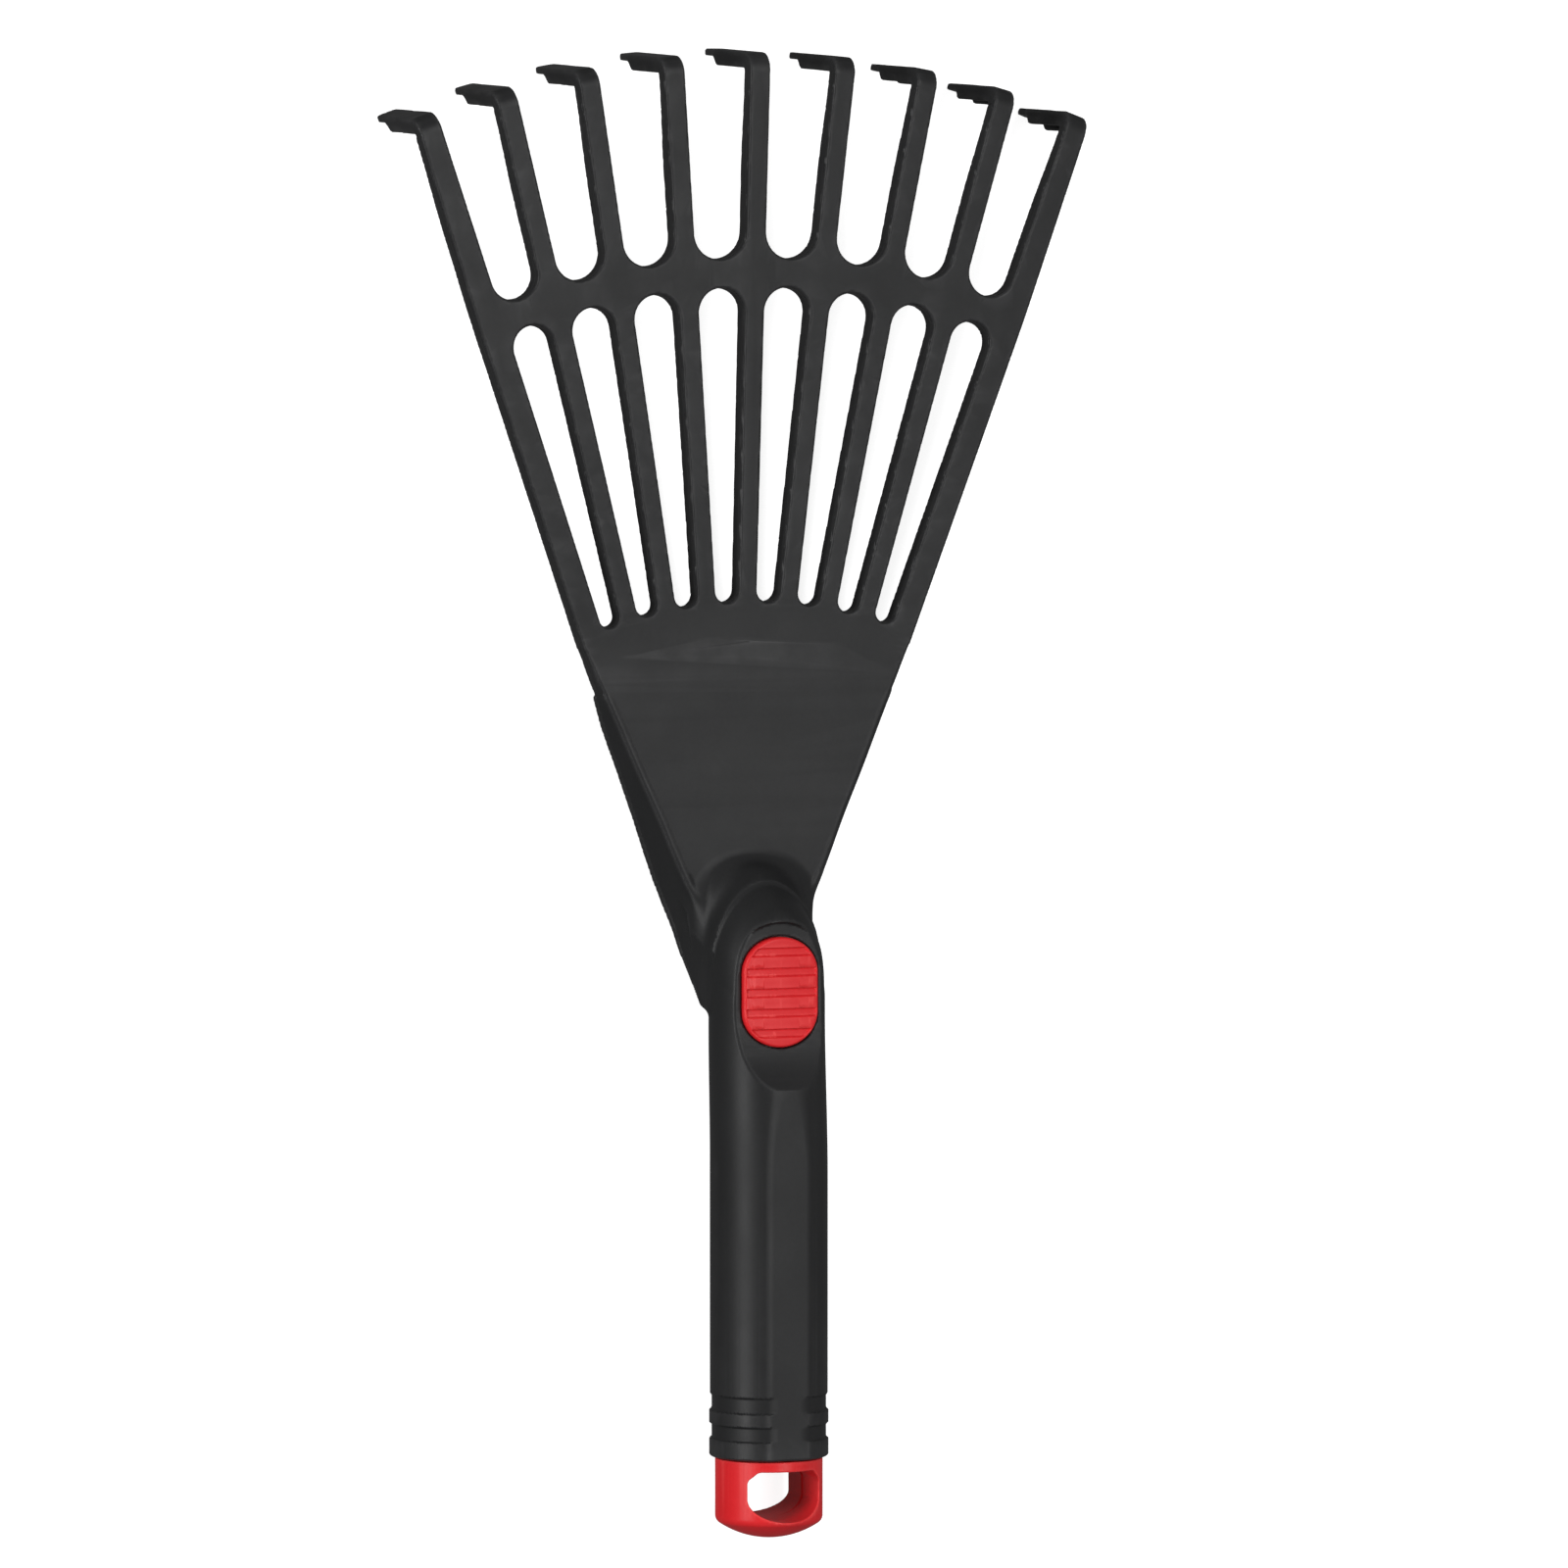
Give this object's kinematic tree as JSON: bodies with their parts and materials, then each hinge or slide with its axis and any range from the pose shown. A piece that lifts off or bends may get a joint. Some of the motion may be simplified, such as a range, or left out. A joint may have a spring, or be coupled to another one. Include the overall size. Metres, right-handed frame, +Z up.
{
  "type": "hand rake",
  "caption": "Hand rake with a hooked fan of tines on a hollow grip, a sprung release button and a plug with a hanging hole.",
  "frame": {"origin": "on the floor, under the middle of the rake lying front up", "axes": "+X across the fan, +Y along the tool from the end plug to the tines, +Z up, out of the front face"},
  "size_m": [0.194, 0.3978, 0.0375],
  "materials": {
    "black_plastic": "fine satin moulded texture",
    "red_plastic": "satin",
    "grey_plastic": "satin",
    "spring_steel": "drawn wire"
  },
  "bodies": {
    "head": {"grip_tube": "black_plastic", "fan_plate": "black_plastic", "side_wall_left": "black_plastic", "side_wall_right": "black_plastic", "tine_1": "black_plastic", "tine_2": "black_plastic", "tine_3": "black_plastic", "tine_4": "black_plastic", "tine_5": "black_plastic", "tine_6": "black_plastic", "tine_7": "black_plastic", "tine_8": "black_plastic", "tine_9": "black_plastic", "button_spring": "spring_steel"},
    "button": {"release_button": "red_plastic", "lock_yoke": "grey_plastic"},
    "plug": {"end_cap": "red_plastic"}
  },
  "joints": [
    {"name": "button_press", "type": "slide", "parent": "head", "child": "button", "axis": [0, 0.0685, -0.9977], "range_m": [0, 0.003], "stiffness_N_per_m": 800, "springref_m": -0.004, "deforming": ["button_spring"]},
    {"name": "plug_pull", "type": "slide", "parent": "head", "child": "plug", "axis": [0, -0.9977, -0.0685], "range_m": [0, 0.027]}
  ]
}
